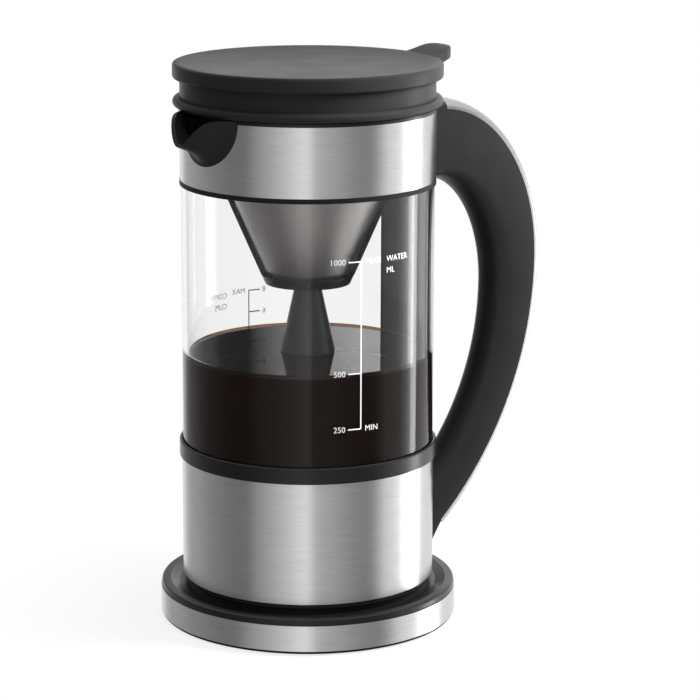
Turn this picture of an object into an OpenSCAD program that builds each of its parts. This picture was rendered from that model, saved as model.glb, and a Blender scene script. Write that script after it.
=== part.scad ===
// Electric percolator: a glass jug with a heater housing, a lift-out brewing unit and a
// lift-off lid, on a round power base. The origin is on the axis, under the base.
// The handle is along +X, the spout along -X but turned towards -Y, and the water scale faces -Y.

/* [Base] */
// How far the steel band stands out beyond the jug's sleeve
base_proud = 10.6; // [8:0.1:20]
// Height that the anti-slip ring stands out below the tray
foot_proud = 0.8; // [0.5:0.1:1.5]
// Height of the black edge under the steel band
tray_edge_h = 1.4; // [1:0.1:3]
// Height of the steel band
band_h = 12; // [11:0.5:18]
// Height of the black lip above the steel band
deck_lip_h = 3.1; // [2.6:0.1:5]
// Depth of the dish that the jug stands in
dish_depth = 1.3; // [0.8:0.1:2]
// Wall of the base mouldings
base_wall = 2.2; // [1.8:0.1:3]
// Radius of the connector post
post_r = 13.2; // [12:0.1:16]
// Height of the connector post above the dish
post_h = 12.6; // [10:0.1:16]
// Bore of the cord gland
gland_bore_r = 3.4; // [2.5:0.1:3.8]

/* [Heater housing] */
// Outer radius of the steel sleeve and of the steel collar
sleeve_r = 59; // [56:0.5:64]
// Thickness of the steel sheet
steel_t = 0.6; // [0.4:0.1:1]
// Gap between the dish and the lower edge of the jug
jug_gap = 2.3; // [1.5:0.1:4]
// Height of the black edge under the sleeve
bottom_edge_h = 2.7; // [2.4:0.1:5]
// Height of the steel sleeve
sleeve_h = 57; // [54:0.5:70]
// Wall of the jug's plastic mouldings
housing_wall = 2.2; // [1.8:0.1:3]
// Height of the black collar round the foot of the glass
collar_h = 7.5; // [6.5:0.1:12]
// How far that collar stands out from the sleeve
collar_proud = 1.2; // [0.9:0.1:3]
// Thickness of the heater plate
plate_t = 0.8; // [0.6:0.1:1.5]
// Depth of the heater plate below its rim
floor_drop = 3.3; // [2:0.1:5]
// Radius of the well in the heater plate
well_r = 15; // [12:0.5:17]
// Depth of the well
well_depth = 5; // [3:0.1:5]
// Radius of the start button
button_r = 8; // [6:0.1:10]
// Height of the start button above the lower edge of the sleeve
button_up = 28; // [24:0.5:32]
// Travel of the start button
button_travel = 2.5; // [1:0.1:3]

/* [Glass and neck] */
// How far the glass stands back from the sleeve
glass_inset = 0.4; // [0.2:0.1:1.5]
// Wall of the glass
glass_wall = 2.8; // [2:0.1:3.2]
// Height of the glass between the black collar and the upper seal
glass_show_h = 120.5; // [115:0.5:150]
// Height of the upper seal
seal_h = 2.2; // [1.5:0.1:4]
// Height of the steel collar
neck_h = 31.8; // [30:0.1:40]
// Height of the black rim above the steel collar
rim_h = 1.9; // [1.5:0.1:4]
// Wall of the neck above its ledge
neck_wall = 5.1; // [4.5:0.1:6]
// Width of the ledge that carries the basket
ledge_w = 2.7; // [2:0.1:4]
// Height of the ledge that carries the basket above the upper seal
hang_up = 17.8; // [16:0.1:20]
// Turn of the spout away from the line opposite the handle, in degrees
spout_turn = 10; // [0:1:15]
// Half width of the spout's tongue
spout_a = 21.5; // [18:0.1:28]
// Depth of the spout's tongue
spout_b = 21; // [18:0.1:26]
// How far the lip of the spout stands out
lip_reach = 13.6; // [8:0.1:18]
// How far the lip of the spout drops at its middle
lip_drop = 12.7; // [9:0.1:15]
// Wall of the spout
spout_wall = 2; // [1.4:0.1:2.4]

/* [Handle] */
// Width of the handle
handle_w = 23; // [18:0.5:28]
// How far the handle's side faces reach beyond the sleeve
handle_reach = 56.8; // [50:0.1:66]
// Depth of the grip at its widest point
grip_t = 22.4; // [18:0.1:26]
// Distance from the top of the side faces down to their widest point
handle_drop = 73; // [66:0.5:84]
// Depth of the rounding along the inside of the grip
grip_round = 14; // [8:0.5:16]
// Thickness of the steel trim
trim_t = 1.1; // [0.8:0.1:1.6]
// How far the middle of the trim stands out from its edges
trim_crown = 3.2; // [1.5:0.1:4.5]
// Height of the trim's lower end above the lower edge of the sleeve
tip_up = 16.8; // [12:0.1:22]

/* [Brewing unit] */
// Radius of the stem at the floor
stem_foot_r = 23.5; // [20:0.1:26]
// Radius of the stem under the basket
stem_neck_r = 6.1; // [5.2:0.1:6.4]
// Outer radius of the riser tube
riser_r = 4.6; // [4.3:0.1:4.8]
// Wall of the stem
stem_wall = 1; // [0.8:0.1:1.4]
// Height of the riser's end above the ledge in the neck
riser_up = 9; // [6:0.1:12]
// Height of the basket
basket_h = 66.8; // [60:0.1:72]
// Radius of the basket at its foot
basket_foot_r = 19.9; // [17:0.1:24]
// Thickness of the mesh
mesh_t = 0.6; // [0.4:0.1:1]
// How far the basket's ribs stand out from the mesh
rib_proud = 2.8; // [1.5:0.1:3.5]
// Lift of the pump valve
valve_lift = 2; // [1:0.1:3]

/* [Lid] */
// How far the bead and the disc stand out beyond the steel collar
lid_proud = 3.1; // [2.5:0.1:6]
// Height of the bead
bead_h = 4.3; // [3.5:0.1:6]
// Height of the skirt between bead and disc
skirt_h = 8.7; // [7:0.1:14]
// How far the skirt is set back from the disc
skirt_set = 3.3; // [2.5:0.1:6]
// Height of the disc
disc_h = 7; // [5.5:0.1:10]
// Depth of the plug below the bead
plug_depth = 7.9; // [6.5:0.1:9]
// How far the thumb tab reaches beyond the disc
tab_reach = 10.1; // [7:0.1:16]
// Width of the thumb tab
tab_w = 22.5; // [18:0.5:32]
// How far the thumb tab rises above the disc
tab_rise = 3.8; // [1:0.1:7]

/* [Fits] */
// Gap between pieces that stay together
fit_gap = 0.05; // [0.03:0.01:0.1]
// Gap between pieces that move past each other
run_gap = 0.3; // [0.25:0.05:0.4]

/* [Hidden] */
$fn = 96;

// Colours
black = [0.10, 0.10, 0.11];
steel = [0.72, 0.72, 0.73];
brass = [0.80, 0.64, 0.30];
seal_grey = [0.16, 0.16, 0.17];

// Heights, from the table up
z_tray = foot_proud;
z_band = z_tray + tray_edge_h;
z_deck = z_band + band_h;
z_lip = z_deck + deck_lip_h;
z_dish = z_lip - dish_depth;
z_jug = z_dish + jug_gap;
z_sleeve = z_jug + bottom_edge_h;
z_collar = z_sleeve + sleeve_h;
z_glass_show = z_collar + collar_h;
z_seal = z_glass_show + glass_show_h;
z_neck = z_seal + seal_h;
z_rim = z_neck + neck_h;
z_lid = z_rim + rim_h;
z_skirt = z_lid + bead_h;
z_disc = z_skirt + skirt_h;
z_top = z_disc + disc_h;

// Base
base_r = sleeve_r + base_proud;
foot_r = base_r - 8;
foot_w = 6;
foot_recess = 0.6;
tray_floor_t = 2.4;
z_tray_floor = z_tray + tray_floor_t;
tray_r = base_r - steel_t - fit_gap;
deck_t = dish_depth + 0.7;
z_deck_under = z_dish - deck_t;
deck_round = 1;
boss_r = 4.5;
base_boss_at = base_r - 20;
screw_r = 1.7;
screw_head_r = 3.4;
screw_head_h = 1.4;
screw_l = 9;
connector_flange_r = post_r + 6;
connector_flange_t = 2;
pin_hole_r = 2.8;
ring_slot_r = 8.1;
ring_slot_w = 2.4;
contact_t = 0.5;
z_post = z_dish + post_h;
z_slot = z_dish + 2;
gland_body_r = gland_bore_r + 0.8;
gland_flange_r = gland_bore_r + 1.9;
gland_proud = 1.6;
gland_in = 7.6;
z_gland = z_band + band_h / 2;

// Heater housing
collar_r = sleeve_r + collar_proud;
sleeve_in_r = sleeve_r - steel_t;
inner_r = sleeve_in_r - fit_gap;
cover_t = 2.5;
z_cover = z_jug + cover_t;
cover_wall_up = 6;
edge_r = sleeve_r - 0.5;
jug_foot_r = sleeve_r - 2.2;
jug_foot_w = 3;
socket_r = post_r + 0.8;
socket_wall = 2.6;
socket_out_r = socket_r + socket_wall;
socket_flange_r = socket_out_r + 5;
z_socket_roof = z_post + 1.4;
socket_roof_t = 2;
terminal_h = 4;
contact_pin_r = pin_hole_r - contact_t - fit_gap - run_gap;
contact_ring_t = 0.8;
ledge_h = 1.5;
z_ledge = z_collar + ledge_h;
glass_seal_t = 1.5;
z_glass = z_ledge + plate_t + glass_seal_t;
glass_r = sleeve_r - glass_inset;
pocket_r = glass_r + 0.4;
spigot_wall = 3;
spigot_in_r = inner_r - spigot_wall;
spigot_down = 12;
z_floor = z_ledge + plate_t - floor_drop;
dish_r = spigot_in_r - 0.4;
tie_at = spigot_in_r - 6.2;
tie_r = 2;
tie_head_r = 3.6;
tie_head_h = 1.6;
tie_angles = [30, 150, 270];
z_tie_boss = z_collar - 16;
spreader_t = 5;
spreader_in_r = well_r + plate_t + 1.2;
spreader_out_r = tie_at - boss_r - 1.2;
z_spreader = z_floor - plate_t - spreader_t;
element_r = 3.2;
element_at = (spreader_in_r + spreader_out_r) / 2;
element_sink = 1.5;
element_open = 40;
element_leg_h = 12;
thermostat_r = 8;
thermostat_h = 7;
thermostat_tab_r = 11;
thermostat_tab_t = 1;
z_button = z_sleeve + button_up;
bezel_in_r = button_r + run_gap;
bezel_r = bezel_in_r + 2.1;
bezel_flange_r = bezel_r + 1.6;
bezel_proud = 1.4;
bezel_in = 7;
button_flange_r = button_r + 1.4;
button_flange_t = 1.6;
button_dome = 0.8;
button_post_l = 2;
y_bezel_out = sleeve_r + bezel_proud;
y_bezel_in = sleeve_r - bezel_in;
y_plunger = y_bezel_in - button_flange_t - button_post_l - button_travel - 0.1;
plunger_r = 1.8;
plunger_l = 0.8;
switch_w = 6;
switch_t = 3.4;
board_w = 44;
board_h = 30;
board_t = 1.6;
y_board = y_plunger - plunger_l - switch_t;
z_board = z_button - board_h / 2;
board_post_w = 5;
board_post_grip = 6;

// Glass and neck
glass_in_r = glass_r - glass_wall;
mouth_r = inner_r - neck_wall;
seal_r = sleeve_r + 0.2;
rim_r = sleeve_r + 0.3;
rim_round = 0.5;
neck_low_r = glass_in_r - 1.3;
z_hang = z_neck + hang_up;
hang_r = mouth_r - ledge_w;
hang_t = 2;
neck_slope_h = 4;
reach_power = 0.79;
drop_power = 4.1;
flare_power = 2;
spout_stations = 36;
spout_rows = 6;
spout_cut_out = rim_r + 1;
spout_cut_in = mouth_r - 10;

// Handle
root_r = sleeve_r + 6;
in_root_r = sleeve_r + 3;
z_side_top = z_rim - 3;
wide_r = sleeve_r + handle_reach;
z_wide = z_side_top - handle_drop;
in_wide_r = wide_r - grip_t;
z_in_wide = z_wide - 13;
z_crease = z_neck - 4.6;
tip_r = sleeve_r + 6.4;
z_tip = z_sleeve + tip_up;
inside_r = sleeve_r - 3;
z_foot_tip = z_tip - 18.2;
z_crotch = z_sleeve + 34;
root_round = 4.7;
foot_round = 9;
upper_steps = 24;
lower_steps = 20;
round_steps = 9;
crown_steps = 8;
trim_start = 88;
trim_step = 0.2;
trim_end_gap = 0.006;
trim_edge = 0.3;
tail_crown = 0.8;
handle_screw_r = 2;
handle_screw_head_r = 3.6;
handle_screw_head_h = 1.8;
handle_screw_l = 11;
z_screws = [z_sleeve + 23, z_sleeve + 33];
z_neck_screw = z_neck + 6.2;

// Brewing unit
basket_top_r = hang_r - 1;
z_basket = z_hang - basket_h;
basket_slope = (basket_top_r - basket_foot_r) / basket_h;
shoulder_r = riser_r + 2;
shoulder_h = 1.5;
z_riser = z_hang + riser_up;
inlet_w = 8;
inlet_h = 3;
seat_up = 3.4;
seat_t = 1.2;
seat_hole_r = 5;
valve_r = 8;
valve_t = 0.8;
cage_hook = 2;
cage_w = 3;
cage_t = 1.4;
basket_floor_t = 1.6;
basket_cup_h = 4;
basket_rim_t = 2.5;
basket_rim_r = mouth_r - 0.5;
rib_w = 3;
rib_set = 0.2;
rib_deep = rib_proud + 1.5;
rib_angles = [-27, 153];
pour_slots = 16;
pour_slot_r = 1.5;
spreader_r = basket_top_r + 0.5;
spreader_plate_t = 1;
spreader_lip_h = 3;
spreader_holes = [[14, 10], [26, 18], [37, 26]];
spreader_hole_r = 1.5;

// Lid
lid_r = sleeve_r + lid_proud;
skirt_r = lid_r - skirt_set;
plug_r = mouth_r - 0.8;
plug_wall = 2.8;
lid_wall = 2.2;
lid_floor_t = 2;
gasket_w = 3;
gasket_sink = 1;
z_plug = z_lid - plug_depth;
z_gasket = z_plug + 2;
lid_edge = 1.3;
lid_dish = 0.7;
lid_dish_r = lid_r - 4;
tab_root_r = lid_r - 9;
tab_tip_r = lid_r + tab_reach;
tab_corner_r = tab_tip_r - 7;
tab_flare = 6;
tab_steps = 10;
tab_edge = 0.6;
tab_t = 5;

// Points on an arc about c, from angle a0 to a1
function arc(c, r, a0, a1, n = 8) =
    [for (i = [0:n]) c + r * [cos(a0 + (a1 - a0) * i / n), sin(a0 + (a1 - a0) * i / n)]];

// A point between two points
function mix(a, b, t) = a * (1 - t) + b * t;

// Radius of the arc that leaves point a straight down and passes point b
function fall_r(a, b) = (pow(a[0] - b[0], 2) + pow(a[1] - b[1], 2)) / (2 * (a[0] - b[0]));

// A point on that arc at share t of its sweep, and its outward normal
function fall_angle(a, b) = asin((a[1] - b[1]) / fall_r(a, b));
function fall_normal(a, b, t) = [cos(t * fall_angle(a, b)), -sin(t * fall_angle(a, b))];
function fall(a, b, t) = a - [fall_r(a, b), 0] + fall_r(a, b) * fall_normal(a, b, t);

// Outline of the basket's ribs at a height
function basket_r(z) = basket_foot_r + (z - z_basket) * basket_slope;

// Outer radius of the stem's flare at a height
function flare_r(z) =
    let (z_end = z_basket - shoulder_h)
    stem_neck_r + (stem_foot_r - stem_neck_r) * (z_end - z) / (z_end - z_floor);

module turned(points) {
    rotate_extrude() polygon(points);
}

module ring(r_out, r_in, z, h) {
    translate([0, 0, z]) difference() {
        cylinder(r = r_out, h = h);
        translate([0, 0, -1]) cylinder(r = r_in, h = h + 2);
    }
}

module rod(r, z, h) {
    translate([0, 0, z]) cylinder(r = r, h = h);
}

// A rod along +Y or +X from a distance to a distance, at a height
module rod_y(r, y0, y1, z) {
    translate([0, y0, z]) rotate([-90, 0, 0]) cylinder(r = r, h = y1 - y0);
}

module rod_x(r, x0, x1, z) {
    translate([x0, 0, z]) rotate([0, 90, 0]) cylinder(r = r, h = x1 - x0);
}

module around(n, start = 0) {
    for (i = [0:n - 1]) rotate(start + i * 360 / n) children();
}

// A solid skinned over closed rings of points that all have the same count
module skin(rings) {
    n = len(rings[0]);
    last = len(rings) - 1;
    points = [for (one = rings) for (p = one) p];
    sides = [for (i = [0:last - 1]) for (j = [0:n - 1]) each [
        [i * n + j, (i + 1) * n + j, (i + 1) * n + (j + 1) % n],
        [i * n + j, (i + 1) * n + (j + 1) % n, i * n + (j + 1) % n]
    ]];
    // A ring's first half runs out and its second half runs back, so its caps are strips
    half = n / 2;
    first_cap = [for (j = [0:half - 2]) each [
        [j, j + 1, n - 2 - j],
        [j, n - 2 - j, n - 1 - j]
    ]];
    last_cap = [for (f = first_cap) [last * n + f[2], last * n + f[1], last * n + f[0]]];
    polyhedron(points, concat(sides, first_cap, last_cap));
}

// Power base

module base_foot_ring() {
    color(seal_grey) ring(foot_r, foot_r - foot_w, 0, foot_proud + foot_recess);
}

module base_screw_places() {
    around(4, 45) translate([base_boss_at, 0, 0]) children();
}

module base_tray() {
    edge = 0.6;
    color(black) difference() {
        turned([
            [0, z_tray], [base_r - 0.4 - edge, z_tray], [base_r - 0.4, z_tray + edge],
            [base_r - 0.4, z_band], [tray_r, z_band], [tray_r, z_deck],
            [tray_r - base_wall, z_deck], [tray_r - base_wall, z_tray_floor], [0, z_tray_floor]
        ]);
        ring(foot_r + fit_gap, foot_r - foot_w - fit_gap, z_tray - 1, foot_recess + 1);
        base_screw_places() {
            rod(screw_head_r + fit_gap, z_tray - 1, screw_head_h + 1);
            rod(screw_r + fit_gap, z_tray, tray_floor_t + 1);
        }
        rod_y(gland_body_r + fit_gap, base_r - gland_in, base_r + 1, z_gland);
    }
}

module base_steel_band() {
    color(steel) difference() {
        ring(base_r, base_r - steel_t, z_band, band_h);
        rod_y(gland_body_r + fit_gap, base_r - gland_in, base_r + 1, z_gland);
    }
}

module base_deck() {
    lip_r = base_r - 0.5;
    lip_in = base_r - 4.5;
    dish_edge = sleeve_r + 1.5;
    color(black) difference() {
        union() {
            turned(concat(
                [[post_r + fit_gap, z_deck_under], [tray_r - base_wall - 1, z_deck_under],
                 [tray_r - base_wall - 1, z_deck], [lip_r, z_deck]],
                arc([lip_r - deck_round, z_lip - deck_round], deck_round, 0, 90),
                [[lip_in, z_lip], [dish_edge, z_dish], [post_r + fit_gap, z_dish]]
            ));
            base_screw_places() rod(boss_r, z_tray_floor, z_deck_under - z_tray_floor + 0.5);
        }
        base_screw_places() rod(screw_r + fit_gap, z_tray_floor - 1, screw_l - tray_floor_t + 1);
    }
}

module base_connector() {
    color(black) difference() {
        union() {
            rod(connector_flange_r, z_deck_under - connector_flange_t, connector_flange_t);
            rod(post_r, z_deck_under - connector_flange_t, z_post - z_deck_under + connector_flange_t);
        }
        rod(pin_hole_r, z_slot, post_h);
        ring(ring_slot_r + ring_slot_w / 2, ring_slot_r - ring_slot_w / 2, z_slot, post_h);
    }
}

module base_contacts() {
    slot_out = ring_slot_r + ring_slot_w / 2 - fit_gap;
    color(brass) {
        ring(pin_hole_r - fit_gap, pin_hole_r - fit_gap - contact_t, z_slot, post_h - 4);
        ring(slot_out, slot_out - contact_t, z_slot, post_h - 4);
    }
}

module base_screws() {
    color(steel) base_screw_places() {
        rod(screw_head_r, z_tray, screw_head_h);
        rod(screw_r, z_tray, screw_l);
    }
}

module cord_gland() {
    color(black) difference() {
        union() {
            rod_y(gland_body_r, base_r - gland_in, base_r + gland_proud, z_gland);
            difference() {
                rod_y(gland_flange_r, base_r - 1, base_r + gland_proud, z_gland);
                rod(base_r + fit_gap, z_band - 1, band_h + 2);
            }
        }
        rod_y(gland_bore_r, base_r - gland_in - 1, base_r + gland_proud + 1, z_gland);
    }
}

// Heater housing of the jug

module tie_places() {
    for (a = tie_angles) rotate(a) translate([tie_at, 0, 0]) children();
}

module jug_bottom_cover() {
    edge = 0.7;
    board_slot = board_t + 2 * fit_gap;
    color(black) difference() {
        union() {
            turned([
                [socket_out_r + fit_gap, z_jug], [edge_r - edge, z_jug], [edge_r, z_jug + edge],
                [edge_r, z_sleeve], [inner_r, z_sleeve], [inner_r, z_sleeve + cover_wall_up],
                [inner_r - housing_wall, z_sleeve + cover_wall_up], [inner_r - housing_wall, z_cover],
                [socket_out_r + fit_gap, z_cover]
            ]);
            ring(jug_foot_r, jug_foot_r - jug_foot_w, z_dish, jug_gap + 1);
            tie_places() rod(boss_r, z_jug, cover_t + 3);
            for (side = [-1, 1])
                translate([side * (board_w / 2 - board_post_w) - board_post_w / 2, y_board - 2, z_cover - 1])
                    cube([board_post_w, board_t + 4, z_board + board_post_grip - z_cover + 1]);
        }
        tie_places() {
            rod(tie_head_r + fit_gap, z_jug - 1, tie_head_h + 1);
            rod(tie_r + fit_gap, z_jug, cover_t + 4);
        }
        translate([-board_w / 2, y_board - fit_gap, z_board - fit_gap])
            cube([board_w, board_slot, board_h]);
    }
}

module jug_socket() {
    color(black) difference() {
        union() {
            rod(socket_out_r, z_jug, z_socket_roof + socket_roof_t - z_jug);
            rod(socket_flange_r, z_cover, 2);
        }
        rod(socket_r, z_jug - 1, z_socket_roof - z_jug + 1);
        rod(contact_pin_r + fit_gap, z_socket_roof - 1, socket_roof_t + 2);
    }
}

module socket_contacts() {
    pin_down = z_slot + 1.5;
    color(brass) {
        rod(contact_pin_r, pin_down, z_socket_roof + socket_roof_t + terminal_h - pin_down);
        ring(ring_slot_r + contact_ring_t / 2, ring_slot_r - contact_ring_t / 2, pin_down,
             z_socket_roof - pin_down);
    }
}

module lower_sleeve() {
    color(steel) difference() {
        ring(sleeve_r, sleeve_in_r, z_sleeve, sleeve_h);
        rod_y(bezel_r + fit_gap, y_bezel_in, sleeve_r + 1, z_button);
        for (z = z_screws) rod_x(handle_screw_r + fit_gap, inside_r, sleeve_r + 1, z);
    }
}

module lower_collar() {
    edge = 0.8;
    color(black) difference() {
        union() {
            turned(concat(
                [[spigot_in_r, z_collar - spigot_down], [inner_r, z_collar - spigot_down],
                 [inner_r, z_collar], [collar_r, z_collar]],
                arc([collar_r - edge, z_glass_show - edge], edge, 0, 90),
                [[pocket_r, z_glass_show], [pocket_r, z_ledge], [spigot_in_r, z_ledge]]
            ));
            tie_places() rod(boss_r, z_tie_boss, z_floor - plate_t - 0.5 - z_tie_boss);
            for (a = tie_angles) rotate(a)
                translate([tie_at, -boss_r / 2, z_collar - spigot_down])
                    cube([spigot_in_r - tie_at + 1, boss_r,
                          z_floor - plate_t - 0.5 - z_collar + spigot_down]);
        }
        tie_places() rod(tie_r + fit_gap, z_tie_boss - 1, 12);
    }
}

module heater_plate() {
    rim_out = pocket_r - 0.2;
    under = z_floor - plate_t;
    color(steel) turned([
        [0, z_floor - well_depth], [well_r, z_floor - well_depth], [well_r, z_floor],
        [dish_r - plate_t, z_floor], [dish_r - plate_t, z_ledge + plate_t], [rim_out, z_ledge + plate_t],
        [rim_out, z_ledge], [dish_r, z_ledge], [dish_r, under],
        [well_r + plate_t, under], [well_r + plate_t, under - well_depth], [0, under - well_depth]
    ]);
}

module heat_spreader() {
    color([0.80, 0.81, 0.82]) ring(spreader_out_r, spreader_in_r, z_spreader, spreader_t);
}

module heating_element() {
    leg_a = element_open / 2;
    color([0.45, 0.43, 0.42]) {
        intersection() {
            rotate([0, 0, leg_a]) rotate_extrude(angle = 360 - element_open)
                translate([element_at, z_spreader - element_r + element_sink]) circle(r = element_r);
            rod(element_at + 2 * element_r, z_spreader - 3 * element_r, 3 * element_r);
        }
        for (a = [leg_a, -leg_a]) rotate(a) translate([element_at, 0, 0])
            rod(element_r - 0.6, z_spreader - element_leg_h, element_leg_h);
    }
}

module thermostat() {
    z_well = z_floor - plate_t - well_depth;
    color([0.80, 0.78, 0.72]) {
        rod(thermostat_r, z_well - thermostat_h, thermostat_h);
        rod(thermostat_tab_r, z_well - thermostat_tab_t, thermostat_tab_t);
    }
}

module control_board() {
    color([0.10, 0.36, 0.22])
        translate([-board_w / 2, y_board, z_board]) cube([board_w, board_t, board_h]);
}

module button_switch() {
    y_face = y_board + board_t;
    color([0.2, 0.2, 0.22]) {
        translate([-switch_w / 2, y_face, z_button - switch_w / 2])
            cube([switch_w, y_plunger - plunger_l - y_face, switch_w]);
        rod_y(plunger_r, y_face, y_plunger, z_button);
    }
}

module button_bezel() {
    color(black) difference() {
        union() {
            rod_y(bezel_r, y_bezel_in, y_bezel_out, z_button);
            difference() {
                rod_y(bezel_flange_r, y_bezel_in, y_bezel_out, z_button);
                rod(sleeve_r + fit_gap, z_sleeve, sleeve_h);
            }
        }
        rod_y(bezel_in_r, y_bezel_in - 1, y_bezel_out + 1, z_button);
    }
}

module start_button() {
    face = y_bezel_out + 0.6;
    color([0.16, 0.16, 0.17]) {
        translate([0, 0, z_button]) rotate([-90, 0, 0]) turned([
            [0, y_bezel_in - button_flange_t - button_post_l],
            [plunger_r, y_bezel_in - button_flange_t - button_post_l],
            [plunger_r, y_bezel_in - button_flange_t], [button_flange_r, y_bezel_in - button_flange_t],
            [button_flange_r, y_bezel_in], [button_r, y_bezel_in], [button_r, face],
            [button_r - button_dome, face + button_dome], [0, face + button_dome]
        ]);
    }
}

module housing_screws() {
    color(steel) tie_places() {
        rod(tie_head_r, z_jug, tie_head_h);
        rod(tie_r, z_jug, z_tie_boss + 9 - z_jug);
    }
}

// Glass, neck and spout

module lower_glass_seal() {
    color(seal_grey) ring(pocket_r - 0.2, glass_in_r, z_ledge + plate_t, glass_seal_t);
}

module glass_tube() {
    color([0.85, 0.90, 0.92, 0.35]) ring(glass_r, glass_in_r, z_glass, z_seal - z_glass);
}

module upper_glass_seal() {
    color(seal_grey) ring(seal_r, glass_in_r, z_seal, seal_h);
}

// The tongue of the spout at an angle about its middle: its share of the half width and of the depth
function tongue(t) = [sin(t), cos(t)];
function tongue_angle(i) = 180 * i / spout_stations - 90;

// The tongue-shaped cut for the spout, which goes through the wall
module spout_cut(extra) {
    a = spout_a + extra;
    b = spout_b + extra;
    rotate(spout_turn) translate([-spout_cut_out, 0, z_rim]) rotate([90, 0, 90])
        linear_extrude(height = spout_cut_out - spout_cut_in) polygon(concat(
            [[-a, rim_h + 1], [-a, 0]],
            [for (i = [1:spout_stations - 1])
                let (p = tongue(tongue_angle(i))) [a * p[0], -b * p[1]]],
            [[a, 0], [a, rim_h + 1]]
        ));
}

module upper_collar() {
    color(steel) difference() {
        ring(sleeve_r, sleeve_in_r, z_neck, neck_h);
        spout_cut(fit_gap);
        rod_x(handle_screw_r + fit_gap, inside_r, sleeve_r + 1, z_neck_screw);
    }
}

module neck_ring() {
    color(black) difference() {
        turned([
            [neck_low_r, z_neck], [inner_r, z_neck], [inner_r, z_rim], [rim_r, z_rim],
            [rim_r, z_lid - rim_round], [rim_r - rim_round, z_lid], [mouth_r, z_lid],
            [mouth_r, z_hang], [hang_r, z_hang], [hang_r, z_hang - hang_t],
            [neck_low_r, z_hang - hang_t - neck_slope_h]
        ]);
        spout_cut(fit_gap);
        rod_x(handle_screw_r + fit_gap, neck_low_r - 5, sleeve_r + 1, z_neck_screw);
        rod_x(handle_screw_head_r + fit_gap, neck_low_r - 5, neck_low_r + handle_screw_head_h, z_neck_screw);
    }
}

// How far out a circle is at a distance across
function chord(r, y) = sqrt(r * r - y * y);

// One wall of the spout at an angle of its tongue: from the mouth over the collar to the lip
function spout_wall_points(t, thick) =
    let (
        p = tongue(t),
        y = (spout_a - thick) * p[0],
        z = z_rim - (spout_b - thick) * p[1],
        bow = cos(90 * p[0]),
        root = chord(sleeve_r - thick, y),
        lip = chord(sleeve_r, y) + (lip_reach - thick) * pow(bow, reach_power),
        z_end = z_lid - run_gap - (lip_drop - thick / 2) * pow(bow, drop_power)
    )
    concat(
        [[-chord(mouth_r, y), y, z]],
        [for (i = [0:spout_rows])
            let (v = i / spout_rows)
            [-mix(root, lip, pow(v, flare_power)), y, mix(z, z_end, v)]]
    );

module pour_spout() {
    color(black) rotate(spout_turn) skin([
        for (i = [1:spout_stations - 1])
            let (
                outer = spout_wall_points(tongue_angle(i), 0),
                inner = spout_wall_points(tongue_angle(i), spout_wall)
            )
            concat(outer, [for (k = [len(inner) - 1:-1:0]) inner[k]])
    ]);
}

// Handle

// Edge of the side faces and middle of the inner face, from the upper root to the widest point
function upper_edge(a) = [root_r + (wide_r - root_r) * cos(a), z_wide + handle_drop * sin(a)];
function upper_in(a) =
    [in_root_r + (in_wide_r - in_root_r) * cos(a), z_in_wide + (z_crease - z_in_wide) * sin(a)];
function upper_normal(a) =
    let (n = [cos(a) / (wide_r - root_r), sin(a) / handle_drop]) n / norm(n);
function upper_angle(i) = trim_start * (1 - i / upper_steps) - (i == 0 ? trim_step : 0);

// The same lines from the widest point to the lower root
edge_wide = [wide_r, z_wide];
edge_tip = [tip_r, z_tip];
foot_tip = [inside_r, z_foot_tip];
in_wide = [in_wide_r, z_in_wide];
in_crotch = [inside_r, z_crotch];
function lower_edge(t) = fall(edge_wide, edge_tip, t);
function lower_in(t) = fall(in_wide, in_crotch, t);
function lower_normal(t) = fall_normal(edge_wide, edge_tip, t);

// A point in the handle's plane, moved out of it by a distance
function across(p, y) = [p[0], y, p[1]];

// A point of the crowned back over an edge, lifted by a distance
function crown_angle(i) = 90 * (1 - i / crown_steps);
function back_point(edge, n, w, lift, crown, i) =
    across(edge + (lift + crown * cos(crown_angle(i))) * n, w * sin(crown_angle(i)));

// A cross-section of the grip, from a station's inner point, edge, normal, rounding, lift and crown
function grip_section(station) =
    let (
        inner = station[0],
        edge = station[1],
        d = (edge - inner) / norm(edge - inner),
        w = handle_w / 2,
        half = concat(
            [for (i = [1:round_steps])
                let (u = 90 * i / round_steps) across(inner + station[3] * (1 - cos(u)) * d, w * sin(u))],
            [for (i = [0:crown_steps - 1]) back_point(edge, station[2], w, station[4], station[5], i)]
        )
    )
    concat(half, [for (k = [len(half) - 1:-1:0]) let (p = half[k]) [p[0], -p[1], p[2]]]);

grip_stations = concat(
    [[[inside_r, z_crease], [inside_r, z_side_top], [0, 1], root_round, trim_t, trim_crown],
     [upper_in(90), upper_edge(90), [0, 1], root_round, trim_t, trim_crown],
     [upper_in(trim_start), upper_edge(trim_start), upper_normal(trim_start), root_round, trim_t,
      trim_crown]],
    [for (i = [0:upper_steps])
        let (a = upper_angle(i))
        [upper_in(a), upper_edge(a), upper_normal(a), mix(root_round, grip_round, cos(a)), 0, trim_crown]],
    [for (i = [1:lower_steps])
        let (t = i / lower_steps)
        [lower_in(t), lower_edge(t), lower_normal(t), mix(grip_round, foot_round, t), 0, trim_crown]],
    [[in_crotch - [0, 1], foot_tip, lower_normal(1), foot_round, 0, tail_crown]]
);

// The space that the jug and the lid take up beside the handle
module handle_clear() {
    rod(sleeve_r + fit_gap, z_dish, z_lid - z_dish);
    rod(collar_r + fit_gap, z_collar - fit_gap, collar_h + 2 * fit_gap);
    rod(seal_r + fit_gap, z_seal - fit_gap, seal_h + 2 * fit_gap);
    rod(rim_r + fit_gap, z_rim - fit_gap, rim_h + 1);
    rod(lid_r + run_gap, z_lid - run_gap, z_top - z_lid);
}

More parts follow.
